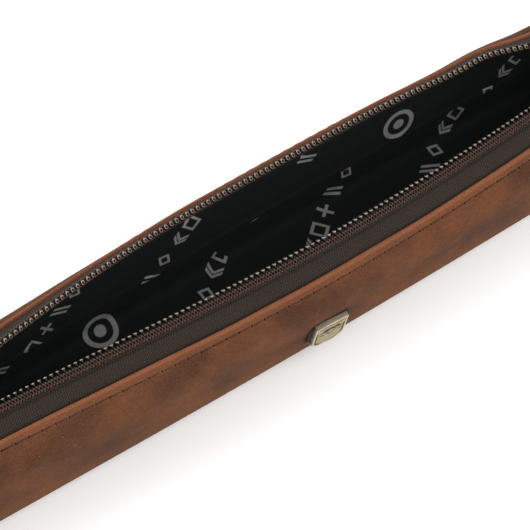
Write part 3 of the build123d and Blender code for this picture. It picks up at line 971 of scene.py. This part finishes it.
# End panels, their stitches, the lining inside them, and the leather tabs over the tapes' ends
TAB_X, TAB_SEAM, TAB_THICK = LENGTH / 2 - 5.5, 3.8, 1.3
for name, way in (("left", -1), ("right", 1)):
    def on_end(a, b, n, way=way):
        return (way * (END_X + n), a, b + HEIGHT / 2)

    def inside_end(a, b, n, way=way):
        return (way * (END_X + n), a, b + 20.9)

    def on_top(a, b, n, way=way):
        return (way * TAB_X + a, b, HEIGHT + n)

    outline = rounded_rect(WIDTH, HEIGHT, BOTTOM_RADIUS, TOP_RADIUS, 9)
    levels = [(0.0, 0.5), (0.0, 0.05), (0.5, 0.0), (1.3, 0.1), (1.7, 0.5), (1.85, 1.3), (1.8, 2.6)]
    levels += [(1.62, 3.3), (1.62, 3.45), (1.8, 4.6), (1.95, 8.0), (2.0, 14.0), (2.05, 22.0)]
    # The rolled rim lighter: partly the leather's own lighter edge, partly painted light on its rounded top
    edge = [0.2, 0.7, 0.9, 1.0, 0.95, 0.6, 0.35, 0.1, 0.1, 0.15, 0.1, 0.05, 0.0]
    panel = plate(f"{name}_end", outline, levels, on_end, leather, "case_body", edge)
    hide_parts(f"{name}_end_panel", f"{name}_end_padding")
    places = places_round(inset(outline, 3.4), on_end)
    threads = laid_threads(f"{name}_end_stitches", thread_piece(4.6, 0.3, 0.45), places)
    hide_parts(f"{name}_end_stitching")

    outline = rounded_rect(WIDTH - 2 * INSIDE - 1.4, 33.4, 4.4, 4.4, 6)
    levels = [(0.05, 0.2), (-1.2, 0.0), (-1.7, 0.5), (-1.85, 2.5), (-2.0, 8.0), (-2.05, 14.0)]
    cloth = plate(f"{name}_end_cloth", outline, levels, inside_end, lining_cloth, "case_body")
    # Halfway between two rows, so that nothing is printed on the ends
    unprinted = [100.0, ROW_PITCH / 2, 0.0] * len(cloth.data.vertices)
    cloth.data.attributes.new("mark", "FLOAT_VECTOR", "POINT").data.foreach_set("vector", unprinted)
    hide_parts(f"{name}_end_lining")

    levels = [(0.05, 0.3), (0.1, 0.0), (0.9, 0.0), (1.25, 0.25), (1.4, 0.8)]
    levels += [(1.25, 1.6), (1.25, 1.8), (1.45, 2.6), (1.5, 3.4)]
    # The tab's rounded rim lighter: partly the leather's own lighter edge, partly painted light
    edge = [0.3, 0.9, 1.0, 0.9, 0.6, 0.2, 0.2, 0.3, 0.3]
    tab = plate(f"{name}_tape_tab", rounded_rect(11, 30, 2, 2, 5), levels, on_top, leather, "case_body", edge)
    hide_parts(f"{name}_zip_tab")
    places = [
        lambda x, y, z, b=b: on_top(y - way * TAB_SEAM, b + x, TAB_THICK + z)
        for b in np.arange(-11.7, 12, 3.9)
    ]
    laid_threads(f"{name}_tab_stitches", thread_piece(3.2, 0.26, 0.4), places)

# Bottom stop
levels = [(-0.5, 0.2), (-0.4, 0.0), (0.2, 0.0), (0.5, 0.35), (0.55, 1.2)]
wear = [0.3, 0.5, 0.6, 0.9, 0.7]
stop = plate("bottom_stop_staple", rounded_rect(5, 6, 0.9, 0.9, 5), levels,
             lambda a, b, n: (BOTTOM_STOP_X + a, b, 43.5 + n), zip_metal, "case_body", wear)
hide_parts("bottom_stop")

# Slider
SLIDER_X, SLIDER_TOP, SLIDER_LOW = 373.0, 45.6, 38.2


def slider_outline():
    side = [(6.4, 0.0), (6.4, 2.4), (5.7, 3.3), (3.0, 3.9), (-1.0, 4.6)]
    side += [(-3.4, 4.9), (-5.2, 4.6), (-6.1, 3.4), (-6.4, 1.8), (-5.9, 0.5)]
    return dense([(x, y) for x, y in side] + [(x, -y) for x, y in side[-1:0:-1]], 0.5)


def on_slider(base):
    return lambda a, b, n: (SLIDER_X + a, b, base + n)


top_levels = [(0.0, 0.3), (0.05, 0.0), (0.75, 0.0), (1.05, 0.3), (1.15, 0.8), (1.2, 1.8), (1.22, 3.0)]
top_wear = [0.2, 0.5, 0.7, 1.0, 0.8, 0.55, 0.5]
top = plate("slider_top", slider_outline(), top_levels, on_slider(SLIDER_TOP), zip_metal, "slider", top_wear)
low_levels = [(1.2, 0.3), (1.15, 0), (0.45, 0), (0.15, 0.3), (0.05, 0.8), (0, 1.8)]
low_wear = top_wear[:6]
low = plate("slider_low", slider_outline(), low_levels, on_slider(SLIDER_LOW), zip_metal, "slider", low_wear)
post = plate("slider_post", rounded_rect(2.5, 1.1, 0.4, 0.4, 4), [(0, 0), (7.0, 0)],
             lambda a, b, n: (SLIDER_X - 5.05 + a, b, SLIDER_LOW + 0.6 + n), zip_metal, "slider", [0.3, 0.3])
flanges = []
for side in (-1, 1):
    def beside_teeth(a, b, n, side=side):
        return (SLIDER_X + 0.6 + a, side * (4.05 - 0.07 * a) + b, SLIDER_TOP - 0.6 + n)

    outline = rounded_rect(8.4, 0.9, 0.3, 0.3, 3)
    levels = [(0, 0.1), (0.1, 0), (0.75, 0)]
    wear = [0.6, 0.8, 0.5]
    flange = plate(f"slider_flange_{side + 1}", outline, levels, beside_teeth, zip_metal, "slider", wear)
    flanges.append(flange)
for piece in (top, low, post, *flanges):
    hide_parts("slider_body")
    sharpen(piece, 45)


def strap(name, line, half_width, thick, body, wear):
    """A flat bent strap along a line of (x, z) points."""
    verts, flats = [], []
    line = np.array(line, float)
    tangent = np.gradient(line, axis=0)
    tangent /= np.linalg.norm(tangent, axis=1)[:, None]
    section = [(-1, -1), (-1, 0.4), (-0.7, 0.95), (0, 1.05), (0.7, 0.95), (1, 0.4), (1, -1), (0, -1.02)]
    for (x, z), (tx, tz) in zip(line, tangent):
        for across, lift in section:
            verts.append((x - tz * lift * thick / 2, across * half_width, z + tx * lift * thick / 2))
            flats.append((x, across, z))
    faces = tube_faces(len(line), len(section))
    return sharpen(riding(name, verts, faces, zip_metal, body, flat=flats, wear=[wear] * len(verts)), 45)


BAIL_BASE = 46.8
arch = [
    (SLIDER_X - 3.7 * math.cos(a), BAIL_BASE + 0.05 + 3.1 * math.sin(a) ** 0.8)
    for a in np.linspace(0.02, math.pi - 0.02, 25)
]
bail = strap("slider_bail_strap", arch, 1.1, 0.95, "slider", 0.85)
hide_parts("slider_bail")

# Pull tab, with an eye round its pin
PIN_Z = BAIL_BASE + 1.3


def on_tab(a, b, n):
    return (SLIDER_X + a, b, PIN_Z + n)


tab_side = [(7.0, 0.0), (7.0, 1.9), (7.6, 2.8), (9.2, 3.3)]
tab_side += [(24.0, 3.45), (25.6, 3.0), (26.4, 1.8), (26.5, 0.0)]
tab_outline = dense(tab_side[1:] + [(x, -y) for x, y in tab_side[-1:0:-1]], 0.7)
tab_levels = [(-0.65, 0.35), (-0.5, 0.05), (0.0, 0.0), (0.45, 0.05), (0.65, 0.35)]
tab_levels += [(0.65, 0.8), (0.42, 1.05), (0.42, 1.6), (0.45, 2.6)]
tab_wear = [0.5, 0.8, 0.9, 1.0, 1.0, 0.8, 0.2, 0.3, 0.35]
pull = plate("pull_tab_blade", tab_outline, tab_levels, on_tab, zip_metal, "pull_tab", tab_wear)
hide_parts("pull_tab")
sharpen(pull, 40)
for side in (-1, 1):
    line = [(SLIDER_X + a, PIN_Z) for a in np.linspace(-0.4, 7.6, 12)]
    arm = strap(f"pull_tab_arm_{side + 1}", line, 0.6, 1.25, "pull_tab", 0.75)
    arm.data.transform(Matrix.Translation((0, side * 2.05 / 1000, 0)))
pin, faces = rings([(-2.6, 0.6, 0.6), (-2.45, 0.8, 0.8), (2.45, 0.8, 0.8), (2.6, 0.6, 0.6)], 16, 2)
verts = [on_tab(*v) for v in pin]
riding("pull_tab_pin", verts, faces, zip_metal, "pull_tab", flat=pin, wear=[0.7] * len(pin))
rib, rib_levels = rounded_rect(0.9, 3.2, 0.4, 0.4, 4), [(0.38, 0.0), (0.55, 0.05), (0.62, 0.2)]
FIRST_RIB, RIB_PITCH = 13.0, 2.2
for i in range(5):
    plate(f"pull_tab_rib_{i}", rib, rib_levels, lambda a, b, n: on_tab(FIRST_RIB + RIB_PITCH * i + a, b, n),
          zip_metal, "pull_tab", [0.4, 0.9, 1.0])

# ---------------------------------------------------------------- camera, floor and light

# The camera stands 1 m from the point it aims at. Its focal length is given in widths of the picture
azimuth, elevation = math.radians(-34.05), math.radians(57.62)
SENSOR, FOCAL_WIDTHS = 36, 2442.3 / 530
right = Vector((math.cos(azimuth), math.sin(azimuth), 0))
level = math.cos(elevation)
away = Vector((math.sin(azimuth) * level, -math.cos(azimuth) * level, math.sin(elevation)))
up = away.cross(right)
aim = Vector((0.130, 0.0057, 0.0172))
camera_data = bpy.data.cameras.new("camera")
camera = bpy.data.objects.new("camera", camera_data)
bpy.context.scene.collection.objects.link(camera)
camera_data.sensor_width = SENSOR
camera_data.lens = FOCAL_WIDTHS * SENSOR
camera_data.clip_start, camera_data.clip_end = 0.05, 30
camera.matrix_world = Matrix.Translation(aim + away) @ Matrix((right, up, away)).transposed().to_4x4()
bpy.context.scene.camera = camera

floor_mesh = bpy.data.meshes.new("floor")
corners = [(x, y, -0.0004) for x, y in ((-4, -4), (4, -4), (4, 4), (-4, 4))]
floor_mesh.from_pydata(corners, [], [(0, 1, 2, 3)])
floor = bpy.data.objects.new("floor", floor_mesh)
bpy.context.scene.collection.objects.link(floor)
paper = bpy.data.materials.new("floor")
paper.use_nodes = True
coating = paper.node_tree.nodes["Principled BSDF"].inputs
coating["Base Color"].default_value = (0.96, 0.96, 0.96, 1)
coating["Roughness"].default_value = 0.9
coating["Emission Color"].default_value = (1, 1, 1, 1)
coating["Emission Strength"].default_value = 0.14
floor_mesh.materials.append(paper)

world = bpy.data.worlds.new("studio")
bpy.context.scene.world = world
bpy.context.scene.view_settings.view_transform = "Standard"
world.use_nodes = True
world.node_tree.nodes["Background"].inputs["Color"].default_value = (1, 1, 1, 1)
world.node_tree.nodes["Background"].inputs["Strength"].default_value = 0.8


def lamp(name, place, target, size, power, tint=(1, 1, 1)):
    data = bpy.data.lights.new(name, "AREA")
    data.shape, data.size, data.energy, data.color = "SQUARE", size, power, tint
    obj = bpy.data.objects.new(name, data)
    bpy.context.scene.collection.objects.link(obj)
    obj.location = place
    obj.rotation_euler = (Vector(target) - Vector(place)).to_track_quat("-Z", "Y").to_euler()


lamp("key", (-0.5, 1.1, 1.9), (0.13, 0, 0), 1.2, 24, (1.0, 0.985, 0.96))
lamp("side", (1.4, -0.9, 1.3), (0.13, 0, 0), 1.0, 13)
lamp("front", (-0.9, -1.6, 0.9), (0.13, 0, 0.02), 1.2, 10)

bpy.context.view_layer.update()
